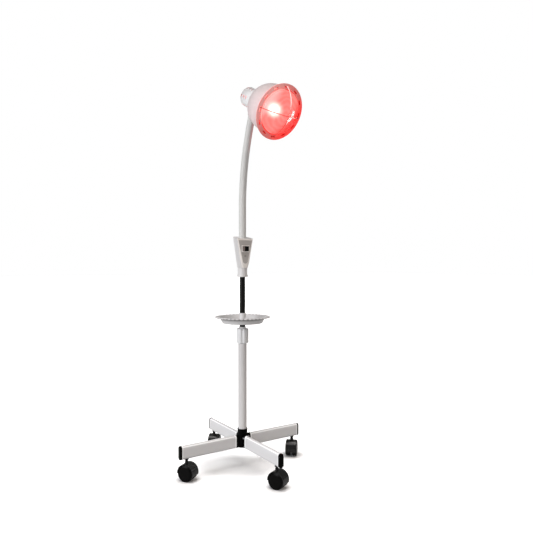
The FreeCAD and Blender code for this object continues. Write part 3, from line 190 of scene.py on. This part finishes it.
def lathe(outline, steps=96, place=None):
    """A grid of points in metres from an outline (radius, height) in mm, turned round Z or a placed axis."""
    profile = np.array(outline) * 0.001
    turn = np.linspace(0, 2 * math.pi, steps, endpoint=False)[:, None]
    points = np.stack([
        np.cos(turn) * profile[:, 0],
        np.sin(turn) * profile[:, 0],
        np.ones_like(turn) * profile[:, 1],
    ], -1)
    if place is None:
        return points
    origin, across, up, along = place
    return origin + points[..., :1] * across + points[..., 1:2] * up + points[..., 2:] * along


pale = finish("pale grey moulded plastic", "dfdfdf", 0.4, grain=0.15, grain_mm=0.4)
dress(pale, "clamp_bush", "clamp_collet")
flute_count, flute_depth = 6, 2.3
turn = np.linspace(0, 2 * math.pi, 36 * flute_count, endpoint=False)
wave = 0.5 + 0.5 * np.cos(flute_count * turn)
flute = flute_depth * wave ** 3
outline = [(9.35, 408.9)] + arc((15.6, 406.8), 2.2, 90, 0, 7) + [(17.8, 388)]
outline += arc((15.6, 368.7), 2.2, 0, -90, 7) + [(10.6, 366.5)]
lobed = lathe(outline, len(turn))
cut_share = np.array([0.15] + [1.0] * 15 + [0.15])
squeeze = 1 - flute[:, None] * 0.001 * cut_share / np.hypot(lobed[..., 0], lobed[..., 1])
lobed[..., :2] *= squeeze[..., None]
knob = surface("knob", lobed, pale)
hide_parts("clamp_knob")
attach(knob, "knob")


# ---------------------------------------------------------------- tray
# Round dish with a lobed rim: each lobe is a half-round bar, rounded over its outer end.
# A tall boss stands in the middle. A share stored in the points paints shade under the rim,
# between the lobes and on the upper inner wall.

tray_plastic = finish("pale grey glossy plastic", "d0cfcf", 0.32)
# Painted shade: a stored share darkens the tray under its rim, between the lobes and on its upper inner wall.
painted_shade_factor = add(tray_plastic.node_tree, "ShaderNodeAttribute", attribute_name="painted_shade").outputs["Fac"]
tint(tray_plastic, painted_shade_factor, ("Base Color", "5c5a58"))
lobe_count, lobe_width = 41, 0.94
turn = np.linspace(0, 2 * math.pi, 20 * lobe_count, endpoint=False)
off_lobe = np.abs(np.arcsin(np.sin(turn * lobe_count / 2))) / (math.pi / 2)
swell = np.sqrt(np.clip(1 - (off_lobe / lobe_width) ** 2, 0, 1))
wall = [(8.2, 425.1), (40, 425.05), (56, 425)] + arc((56.8, 427.8), 2.8, -90, -28, 7)
wall += [(63.0, 433.2), (65.2, 436.4), (67.3, 439.4), (69.3, 442.4)]
rim = [(70.6, 441.9), (72.4, 441.0), (75, 440.8), (79, 440.8)] + arc((79.6, 443.1), 2.35, -75, 0, 6)
rim += arc((79.0, 442.2), 2.8, 8, 90, 7)[:-1] + [(78, 445), (75, 445), (72.6, 444.8), (71, 444.3)]
dip_between = np.array([
    0.3, 1.4, 1.8, 1.9, 1.8, 1.5, 1.2, 0.8, 0.4, 0.1,
    -0.2, -0.5, -0.8, -1, -1.2, -1.2, -1.2, -1.2, -0.9, -0.4,
])
pull_between = np.array([0, 0, 0, 1.2] + [2.2] * 12 + [1.0, 0, 0, 0])
inside = [(69.4, 443.9), (68.0, 443.6), (67.2, 442.4), (60.4, 432.6)] + arc((55.6, 430.6), 3.4, -25, -90, 7)
inside += [(30, 427.1), (13.2, 427.1)] + arc((13.2, 430.2), 3.1, -90, -178, 6)[1:]
inside += arc((9.3, 454.0), 0.6, 0, 90, 4) + [(8.2, 454.6)]
dish = lathe(wall + rim + inside, len(turn))
lobes = slice(len(wall), len(wall) + len(rim))
between = 0.001 * (1 - swell)[:, None]
dish[:, lobes, 2] += between * dip_between
radius = np.hypot(dish[:, lobes, 0], dish[:, lobes, 1])
dish[:, lobes, :2] *= (1 - between * pull_between / radius)[..., None]
# Shares of painted shade, point by point: under the rim, in the gaps between the lobes, on the upper inner wall.
painted_shade_values = np.zeros(dish.shape[:2])
painted_shade_values[:, len(wall) - 3:len(wall) + 2] = (0.35, 0.8, 0.9, 0.8, 0.3)
painted_shade_values[:, len(wall) + 3:lobes.stop] = 0.5 * (1 - swell)[:, None]
painted_shade_values[:, lobes.stop + 2:lobes.stop + 5] = 0.15
tray = surface("tray_dish", dish, tray_plastic, (True, True))
tray.data.attributes.new("painted_shade", "FLOAT", "POINT").data.foreach_set("value", painted_shade_values.ravel())
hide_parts("tray")
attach(tray, "tray")


# ---------------------------------------------------------------- switch housing
# Light grey shells with a darker film on the front; painted light makes them paler where they face forwards.
# A painted highlight lightens the raised end of the black rocker.

def ramp(tree, value, start, end, first=0.0, last=1.0, curve="SMOOTHSTEP"):
    """A share that eases from first to last while a value goes from start to end."""
    links = {"Value": value, "From Min": start, "From Max": end, "To Min": first, "To Max": last}
    return add(tree, "ShaderNodeMapRange", links, interpolation_type=curve).outputs["Result"]


grey = finish("light grey moulded plastic", "d6d4d3", 0.42, grain=0.2, grain_mm=0.4)
dress(grey, "housing_rear", "housing_collar")
front_grey = finish("grey moulded front", "cecdcc", 0.42, grain=0.2, grain_mm=0.4)
tree = front_grey.node_tree
normal = add(tree, "ShaderNodeNewGeometry").outputs["True Normal"]
forwards = vectors(tree, "DOT_PRODUCT", normal, (0, -1, 0))
# Painted light: faces turned forwards are made paler.
tint(front_grey, ramp(tree, forwards, 0.5, 0.95), ("Base Color", "f8f3ee"))
dress(front_grey, "housing_front")

switch_black = finish("black switch plastic", "020202", 0.3, Specular_IOR_Level=0.15)
tree = switch_black.node_tree
left, right = (corner[0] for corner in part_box("switch_rocker"))
# Painted highlight on the raised end of the rocker.
painted_highlight_end = ramp(tree, place_in(tree, "X"), 0.62 * left + 0.38 * right, 0.75 * left + 0.25 * right)
tint(switch_black, painted_highlight_end, ("Base Color", "8c827e"))
dress(switch_black, "switch_body", "switch_rocker")
dress(finish("grey front film", "b6b1ad", 0.5), "label_plate")
dress(finish("painted screw heads", "a29c97", 0.5), "housing_screws")
dress(finish("natural polyamide", "dcdcd4", 0.5), "terminal_block")


# ---------------------------------------------------------------- gooseneck
# One finely ribbed sleeve from the housing to the lamp head, cut between the hinges
# of the core, so that each length bends over one hinge.

neck_cover = finish("light grey ribbed sleeve", "cececb", 0.5)
heading = math.radians(-82.35)
forward = np.array([math.cos(heading), math.sin(heading), 0])
upward = np.array([0, 0, 1.0])
sideways = np.cross(upward, forward)
neck_foot, neck_straight, neck_bend, neck_length = 676, 90, 799, 357


def neck_place(along):
    """Centre in mm and forward normal of the gooseneck at lengths in mm: upright, then an arc."""
    along = np.asarray(along, float)
    bent = np.clip(along - neck_straight, 0, None) / neck_bend
    reach = neck_bend * (1 - np.cos(bent))
    height = neck_foot + np.minimum(along, neck_straight) + neck_bend * np.sin(bent)
    centre = reach[..., None] * forward + height[..., None] * upward
    normal = np.cos(bent)[..., None] * forward - np.sin(bent)[..., None] * upward
    return centre, normal


first_hinge, hinge_gap, sunk = 30, 58, -5
seams = [sunk] + [first_hinge + hinge_gap * (k + 0.5) for k in range(5)] + [neck_length]
neck_cores = [["neck_stub"]] + [["neck_link_%d" % k] for k in range(1, 5)] + [["neck_link_5", "neck_link_6"]]
rib_top, rib_depth, rib_pitch = 10.72, 0.22, 2.4
roof_height, roof_front, roof_slope = 680.6, 16.5, math.radians(12)
turn = np.linspace(0, 2 * math.pi, 48, endpoint=False)
for k, (start, end) in enumerate(zip(seams, seams[1:])):
    along = np.append(np.arange(start, end, rib_pitch / 8), end)
    centre, normal = neck_place(along)
    rib = rib_top - rib_depth * (0.5 + 0.5 * np.cos(2 * math.pi * along / rib_pitch)) ** 2
    ring = np.cos(turn)[None, :, None] * normal[:, None] + np.sin(turn)[None, :, None] * sideways
    points = centre[:, None] + rib[:, None, None] * ring
    if k == 0:
        roof = roof_height - (roof_front - points[..., 1]) * math.tan(roof_slope)
        points[..., 2] = np.maximum(points[..., 2], roof)
    sleeve = surface("neck_sleeve_%d" % (k + 1), points * 0.001, neck_cover, (False, True))
    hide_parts(*neck_cores[k])
    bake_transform(sleeve)


# ---------------------------------------------------------------- shade
# Bell with a flared skirt and a domed shoulder, a slotted front ring, and a louvred rear cap.
# Painted red light from the bulb tints the thin plastic: more towards its lower right, and most inside and in
# the slots. Painted light also makes the lower shade and cap paler, and the top of the guard wire glow white.

dip = math.radians(29.1)
head_axis = math.cos(dip) * forward - math.sin(dip) * upward
head_up = np.cross(head_axis, sideways)
head = ((162 * forward + 1013 * upward) * 0.001, sideways, head_up, head_axis)


def blush(material, across, start, end, *colours, side=None):
    """Tints a material from one length in mm to another, along a direction from the middle of the ring.

    A side limits it to the faces that are turned that way."""
    tree = material.node_tree
    from_ring = vectors(tree, "SUBTRACT", place_in(tree), tuple(head[0]))
    along = vectors(tree, "DOT_PRODUCT", from_ring, tuple(across))
    share = ramp(tree, along, start * 0.001, end * 0.001)
    if side is not None:
        normal = add(tree, "ShaderNodeNewGeometry").outputs["Normal"]
        turned = ramp(tree, vectors(tree, "DOT_PRODUCT", normal, tuple(side)), 0.0, 1.0)
        share = numbers(tree, "MULTIPLY", share, turned)
    tint(material, share, *colours)


low_right = 0.9 * sideways - 0.44 * head_up
shade_white = finish("warm white shade plastic", "bcb2b1", 0.3,
                     Emission_Color=linear("000000"), Emission_Strength=0.12)
# Painted light: the lower shade is paler and pinker, and a painted red glow grows towards the ring.
blush(shade_white, -upward, -85, 30, ("Base Color", "f6e4e4"))
blush(shade_white, head_axis, -60, 0, ("Emission Color", "e06060"))
# Painted red light from the bulb on the side of the sleeve near the head.
blush(neck_cover, upward, -110, -20, ("Base Color", "f0a4a0"), side=0.85 * sideways + 0.5 * forward)
mouth, shoulder, skirt_height, wall_thick = 77.2, 65.6, 39.5, 1.5
flare = ((mouth - shoulder) ** 2 + skirt_height ** 2) / (2 * (mouth - shoulder))
skirt = math.degrees(math.asin(skirt_height / flare))
inner_skirt = math.degrees(math.asin((skirt_height - 0.1) / (flare + wall_thick)))
outer = [(75.6, -0.1), (76.4, 0.0)]
outer += arc((shoulder + flare, -skirt_height), flare, 180 - skirt, 180, 20)
outer += arc((0, -skirt_height), shoulder, 0, -62.8, 28)[1:]
outer += [(24, -97.84), (24, -96.4), (29.3, -96.4)]
inner = arc((0, -skirt_height), shoulder - wall_thick, -62.5, 0, 28)
inner += arc((shoulder + flare, -skirt_height), flare + wall_thick, 180, 180 - inner_skirt, 20)[1:]
bell = surface("shade", lathe(outer + inner, 160, head), shade_white, (True, True))
bell.data.materials.append(finish("red-lit inside of the shade", "a01810", 0.4,
                                  Emission_Color=linear("d81008"), Emission_Strength=0.4))
is_inside = np.zeros((160, len(outer + inner)), int)
is_inside[:, len(outer) - 1:] = 1
bell.data.polygons.foreach_set("material_index", is_inside.ravel())
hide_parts("shade_bell")
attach(bell, "head")

# The ring's pink, its deeper red and glow towards the lower right are painted red light from the bulb.
ring_painted_glow = finish("shade ring plastic", "ffc4c0", 0.25, Emission_Color=linear("8a2820"), Emission_Strength=0.5)
blush(ring_painted_glow, low_right, -70, -5, ("Base Color", "e48c88"))
blush(ring_painted_glow, low_right, 5, 60, ("Base Color", "e83c36"), ("Emission Color", "ff2018"))
# Painted red glow on the walls of the slots.
slot_middle, slot_half, steepest = 0.0684, 0.0024, 0.3
tree = ring_painted_glow.node_tree
normal = add(tree, "ShaderNodeNewGeometry").outputs["True Normal"]
on_wall = numbers(tree, "LESS_THAN", vectors(tree, "DOT_PRODUCT", normal, tuple(head_axis)), steepest)
from_ring = vectors(tree, "SUBTRACT", place_in(tree), tuple(head[0]))
from_axis = vectors(tree, "LENGTH", vectors(tree, "CROSS_PRODUCT", from_ring, tuple(head_axis)))
at_slots = numbers(tree, "COMPARE", from_axis, slot_middle, slot_half)
in_slot = numbers(tree, "MULTIPLY", at_slots, on_wall)
tint(ring_painted_glow, in_slot, ("Base Color", "c80c06"), ("Emission Color", "c00804"))

cap_grey = finish("grey white cap plastic", "b0adad", 0.35)
# Painted light: the lower cap is paler.
blush(cap_grey, -upward, -98, -40, ("Base Color", "fafafa"))
dress(cap_grey, "lamp_cap")
dress(shade_white, "neck_socket")
dress(ring_painted_glow, "shade_ring")
# The wire's pink is painted red light from the bulb, and the white glow on its top a painted highlight.
wire = finish("plated guard wire", "e07c76", 0.15, 1.0, Emission_Color=linear("000000"), Emission_Strength=0.7)
blush(wire, head_up, 15, 40, ("Emission Color", "fff4f2"))
dress(wire, "wire_guard")


# ---------------------------------------------------------------- bulb
# Reflector bulb: a thin red-stained face over a silvered flank, with the lit filament's glow behind
# the face. The glow is a ball that thins out towards its edge, as a glow does.

red = linear("ff2018")
dress(finish("lit ceramic", "f0e8e0", 0.3, Emission_Color=red, Emission_Strength=1.2), "lamp_holder")
dress(finish("bulb base shell", "cfc8b8", 0.3, 1.0), "bulb_base")
stained = finish("stained bulb glass", "ff5048", 0.1, Alpha=0.6,
                 Emission_Color=linear("ffa49e"), Emission_Strength=1.1)
silvered = finish("silvered bulb glass", "c01810", 0.25,
                  Emission_Color=linear("c80a04"), Emission_Strength=0.9)
blush(silvered, head_axis, -28, -8, ("Emission Color", "e8281e"), ("Base Color", "c04038"))
blush(silvered, -low_right, 15, 45, ("Emission Color", "ffb0a8"), ("Base Color", "e8a8a2"))
tree = stained.node_tree
before_face = tuple(head[0] + 0.029 * head_axis)
rings = add(tree, "ShaderNodeTexWave", {
    "Vector": vectors(tree, "SUBTRACT", place_in(tree), before_face),
    "Scale": 24, "Distortion": 5, "Detail": 2, "Detail Scale": 1.5,
}, wave_type="RINGS", rings_direction="SPHERICAL")
faint = numbers(tree, "MULTIPLY", rings.outputs["Fac"], 0.45)
tint(stained, faint, ("Emission Color", "ff746e"))
blush(stained, low_right, -2, 52, ("Emission Color", "ff0e0c"), ("Base Color", "e01008"))
# Painted highlight along the upper left edge of the face.
blush(stained, -low_right, 36, 58, ("Emission Color", "ffdcd8"))
face = arc((0, -66), 95, 90, 53.2, 26)
face += arc((51.6, 2.8), 9, 53, 4, 8)[1:]
flank = arc((-40.85, -3.78), 101.7, 3.8, -54, 30)
flank += [(15.5, -97), (13.3, -104)]
for name, outline, material in (("bulb_face", face, stained), ("bulb_flank", flank, silvered)):
    shell = surface(name, lathe(outline, 128, head), material, (True, False))
    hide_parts("bulb_glass")
    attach(shell, "head")

glow = bpy.data.materials.new("filament glow")
glow.use_nodes = True
tree = glow.node_tree
tree.nodes.clear()
grazing = add(tree, "ShaderNodeLayerWeight", {"Blend": 0.5}).outputs["Facing"]
core = numbers(tree, "POWER", numbers(tree, "SUBTRACT", 1.0, grazing), 10.5)
strength = numbers(tree, "MULTIPLY", core, 4.5)
light = add(tree, "ShaderNodeEmission", {"Color": linear("ffc8bc"), "Strength": strength})
clear = add(tree, "ShaderNodeBsdfTransparent")
both = add(tree, "ShaderNodeAddShader", {0: light.outputs[0], 1: clear.outputs[0]})
add(tree, "ShaderNodeOutputMaterial", {"Surface": both.outputs[0]})
ball = surface("filament_glow", lathe(arc((0, -23), 36, 90, -90, 33), 64, head), glow, (True, False))
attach(ball, "head")


# ---------------------------------------------------------------- end caps
# Flat-oval black caps with a rounded edge, which stand a little proud of the legs' ends.
# They take the place of the thinner faces of the solids.

cap_rise, cap_half, cap_round, cap_overlap, cap_inset = 0.0035, 0.00745, 0.0012, 0.0022, 0.004
leg_round = 0.00725
turn = np.radians(np.linspace(0, 360, 48, endpoint=False))
half_flat = np.where(np.sin(turn) >= 0, 1, -1) * ((high[2] - low[2]) / 2 - leg_round)
edge = [(-cap_overlap, 0), (cap_rise - cap_round, 0)]
edge += [(cap_rise - cap_round * (1 - math.sin(t)), cap_round * (1 - math.cos(t))) for t in (0.5, 1.0, math.pi / 2)]
edge += [(cap_rise, cap_inset), (cap_rise, cap_half)]
for k, side in enumerate(SIDES):
    along = np.array([math.cos(k * math.pi / 2), math.sin(k * math.pi / 2), 0])
    across = np.cross(upward, along)
    level = (low[2] + high[2]) / 2 * upward
    rings = [
        (high[0] + out) * along + level
        + ((cap_half - inset) * np.cos(turn))[:, None] * across
        + (half_flat + (cap_half - inset) * np.sin(turn))[:, None] * upward
        for out, inset in edge
    ]
    cap = surface("end_cap_" + side, np.stack(rings, 1), black, (True, False))
    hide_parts("leg_end_caps")
    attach(cap, "base")


# ---------------------------------------------------------------- casters
# Twin wheels with a domed disc inside a groove, under the hoods of the solids.
# Each wheel is turned about the axis of its own joint.

caster_black = finish("black nylon", "101010", 0.27, grain=0.15, grain_mm=0.5, Specular_IOR_Level=0.5)
disc_black = finish("black wheel nylon", "020202", 0.24, grain=0.1, grain_mm=0.5, Specular_IOR_Level=0.12)
tread = arc((22.4, 5.3), 0.8, -90, 0, 4) + arc((20.2, 14.2), 3.0, 0, 80, 8)
groove = [(20.4, 17.15), (20.1, 16.3), (19.5, 16.3)]
disc = arc((17.6, 15.3), 1.9, 20, 88, 7) + [(12, 17.2), (0.01, 17.2)]
inner = [(0.01, 13.9), (3.2, 13.9), (3.2, 4.5), (6, 4.5), (6, 14.4), (20.2, 14.4), (20.2, 4.5)]
spins = {joint["child"]: joint for joint in frame["record"]["behaviour"]["joints"]}
for side in SIDES:
    dress(caster_black, "caster_%s_hood" % side)
    dress(black_coat, "caster_%s_stem" % side)
    dress(zinc, "caster_%s_axle" % side)
    for hand in ("left", "right"):
        name = "caster_%s_wheel_%s" % (side, hand)
        spin = spins["wheel_%s_%s" % (side, hand)]
        centre, axle = np.array(spin["pos_m"]), np.array(spin["axis"])
        outwards = axle * np.sign(axle @ (np.mean(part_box(name), axis=0) - centre))
        place = (centre, upward, np.cross(outwards, upward), outwards)
        wheel = surface("disc_" + name, lathe(inner + tread + groove + disc, 72, place), disc_black, (True, False))
        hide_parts(name)
        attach(wheel, "wheel_%s_%s" % (side, hand))


# ---------------------------------------------------------------- surroundings
# A plain white floor, soft light from above and from the left, and a white surround.
# The camera sees the floor brighter than it lights the lamp, but less so in an oval round the foot of the pole,
# a painted shadow over the real one, and round the wheels, so that their real shadows show.

floor_mesh = bpy.data.meshes.new("floor")
reach = 30.0
corners = [(-reach, -reach, 0), (reach, -reach, 0), (reach, reach, 0), (-reach, reach, 0)]
floor_mesh.from_pydata(corners, [], [(0, 1, 2, 3)])
floor = bpy.data.objects.new("floor", floor_mesh)
bpy.context.scene.collection.objects.link(floor)
paper = bpy.data.materials.new("white paper floor")
paper.use_nodes = True
tree = paper.node_tree
tree.nodes.clear()
camera_turn = math.radians(-33.35)
spot = place_in(tree)
# Painted shadow: an oval round the foot of the pole where the floor is brightened less.
shadow = {"Location": (-0.005, 0.012, 0), "Rotation": (0, 0, camera_turn), "Scale": (0.112, 0.074, 1)}
oval = add(tree, "ShaderNodeMapping", {"Vector": spot, **shadow}, vector_type="TEXTURE").outputs[0]
brightness = ramp(tree, vectors(tree, "LENGTH", oval), 0.7, 1.6, 0.05, 0.5, "SMOOTHERSTEP")
for side in SIDES:
    x, y, _ = spins["wheel_%s_left" % side]["pos_m"]
    off_wheels = ramp(tree, vectors(tree, "DISTANCE", spot, (x, y, 0)), 0.022, 0.048)
    brightness = numbers(tree, "MULTIPLY", brightness, off_wheels)
brighter = add(tree, "ShaderNodeEmission", {"Color": linear("ffffff"), "Strength": brightness})
matt = add(tree, "ShaderNodeBsdfDiffuse", {"Color": linear("f3f3f3")})
raised = add(tree, "ShaderNodeAddShader", {0: matt.outputs[0], 1: brighter.outputs[0]})
dull = add(tree, "ShaderNodeBsdfDiffuse", {"Color": linear("bcbcbc")})
seen = add(tree, "ShaderNodeLightPath").outputs["Is Camera Ray"]
chosen = add(tree, "ShaderNodeMixShader", {0: seen, 1: dull.outputs[0], 2: raised.outputs[0]})
add(tree, "ShaderNodeOutputMaterial", {"Surface": chosen.outputs[0]})
floor.data.materials.append(paper)

world = bpy.data.worlds.new("surround")
bpy.context.scene.world = world
world.use_nodes = True
sky = world.node_tree
sky.nodes.clear()
plain = add(sky, "ShaderNodeBackground", {"Color": linear("ffffff"), "Strength": 0.19})
white = add(sky, "ShaderNodeBackground", {"Color": linear("ffffff"), "Strength": 1.0})
seen = add(sky, "ShaderNodeLightPath").outputs["Is Camera Ray"]
chosen = add(sky, "ShaderNodeMixShader", {0: seen, 1: plain.outputs[0], 2: white.outputs[0]})
add(sky, "ShaderNodeOutputWorld", {"Surface": chosen.outputs[0]})


def soft_sun(name, source, strength, spread, code):
    """A distant soft light that comes from a direction, in W/m2, with its spread in degrees."""
    light = bpy.data.lights.new(name, "SUN")
    light.energy = strength
    light.color = linear(code)[:3]
    light.angle = math.radians(spread)
    lamp = bpy.data.objects.new(name, light)
    bpy.context.scene.collection.objects.link(lamp)
    away = np.array(source) / np.linalg.norm(source)
    lamp.rotation_euler = (math.acos(away[2]), 0, math.atan2(away[0], -away[1]))


soft_sun("overhead light", (-0.1, -0.1, 1), 1.75, 40, "fffcfa")
soft_sun("front light", (0.2, -1, 1.0), 0.58, 40, "ffefe3")
soft_sun("left light", (-1, -0.1, 0.3), 2.2, 30, "fafbff")
pane = bpy.data.lights.new("tall soft box", "AREA")
pane.shape = "RECTANGLE"
pane.size, pane.size_y = 0.12, 0.34
pane.energy, pane.spread = 0.3, math.radians(60)
box = bpy.data.objects.new("tall soft box", pane)
bpy.context.scene.collection.objects.link(box)
box.location = (0.6, -0.225, 0.83)
box.rotation_euler = (math.radians(106), 0, math.radians(90))
box.visible_diffuse = False
box.visible_camera = False

camera = bpy.data.cameras.new("camera")
camera.sensor_width = 36.0
focal_pixels, picture_pixels = 528, 533
camera.lens = camera.sensor_width * focal_pixels / picture_pixels
camera.clip_start = 0.05
camera.dof.use_dof = False
eye = bpy.data.objects.new("camera", camera)
bpy.context.scene.collection.objects.link(eye)
eye.location = (-0.7998, -1.3447, 0.592)
eye.rotation_euler = (math.radians(90), 0, camera_turn)
bpy.context.scene.camera = eye
bpy.context.scene.view_settings.view_transform = "Standard"
